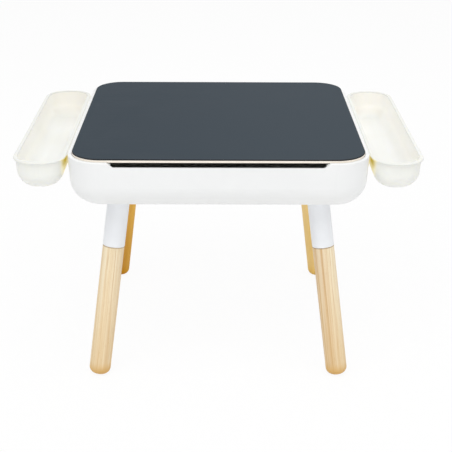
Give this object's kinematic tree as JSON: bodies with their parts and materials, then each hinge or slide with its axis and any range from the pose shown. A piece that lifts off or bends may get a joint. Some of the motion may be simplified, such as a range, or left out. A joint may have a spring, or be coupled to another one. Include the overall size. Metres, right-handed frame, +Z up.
{
  "type": "kids table with storage",
  "caption": "Low square play table with a lift-off chalkboard lid over a storage tub, hanging side trays and splayed round wooden legs.",
  "frame": {"origin": "on the floor under the middle of the table", "axes": "+Z up, -Y to the front, where the finger notch is, and +X to the right seen from the front"},
  "size_m": [0.734, 0.5358, 0.441],
  "materials": {
    "tub_plastic": "white moulded polypropylene, fine satin",
    "chalkboard": "matt dark slate chalkboard coating",
    "plywood": "light birch plywood, sanded edge",
    "back_panel": "off-white laminate",
    "tray_plastic": "ivory moulded polypropylene, fine satin",
    "sleeve_plastic": "white satin plastic",
    "leg_wood": "light beech, clear matt lacquer",
    "bolt_steel": "zinc plated",
    "insert_brass": "plain",
    "glide_plastic": "grey nylon"
  },
  "bodies": {
    "table": {"tub": "tub_plastic", "leg_sleeve_front_left": "sleeve_plastic", "leg_sleeve_front_right": "sleeve_plastic", "leg_sleeve_back_left": "sleeve_plastic", "leg_sleeve_back_right": "sleeve_plastic", "leg_front_left": "leg_wood", "leg_front_right": "leg_wood", "leg_back_left": "leg_wood", "leg_back_right": "leg_wood", "leg_bolt_front_left": "bolt_steel", "leg_bolt_front_right": "bolt_steel", "leg_bolt_back_left": "bolt_steel", "leg_bolt_back_right": "bolt_steel", "bolt_washer_front_left": "bolt_steel", "bolt_washer_front_right": "bolt_steel", "bolt_washer_back_left": "bolt_steel", "bolt_washer_back_right": "bolt_steel", "leg_insert_front_left": "insert_brass", "leg_insert_front_right": "insert_brass", "leg_insert_back_left": "insert_brass", "leg_insert_back_right": "insert_brass", "bolt_cap_front_left": "tub_plastic", "bolt_cap_front_right": "tub_plastic", "bolt_cap_back_left": "tub_plastic", "bolt_cap_back_right": "tub_plastic", "foot_glide_front_left": "glide_plastic", "foot_glide_front_right": "glide_plastic", "foot_glide_back_left": "glide_plastic", "foot_glide_back_right": "glide_plastic"},
    "lid": {"lid_chalkboard": "chalkboard", "lid_core": "plywood", "lid_back_panel": "back_panel"},
    "left_tray": {"tray_left": "tray_plastic"},
    "right_tray": {"tray_right": "tray_plastic"}
  },
  "joints": [
    {"name": "lid_lift", "type": "slide", "parent": "table", "child": "lid", "axis": [0, 0, 1], "range_m": [0, 0.15]},
    {"name": "left_tray_lift", "type": "slide", "parent": "table", "child": "left_tray", "axis": [0, 0, 1], "range_m": [0, 0.0088]},
    {"name": "right_tray_lift", "type": "slide", "parent": "table", "child": "right_tray", "axis": [0, 0, 1], "range_m": [0, 0.0088]}
  ]
}
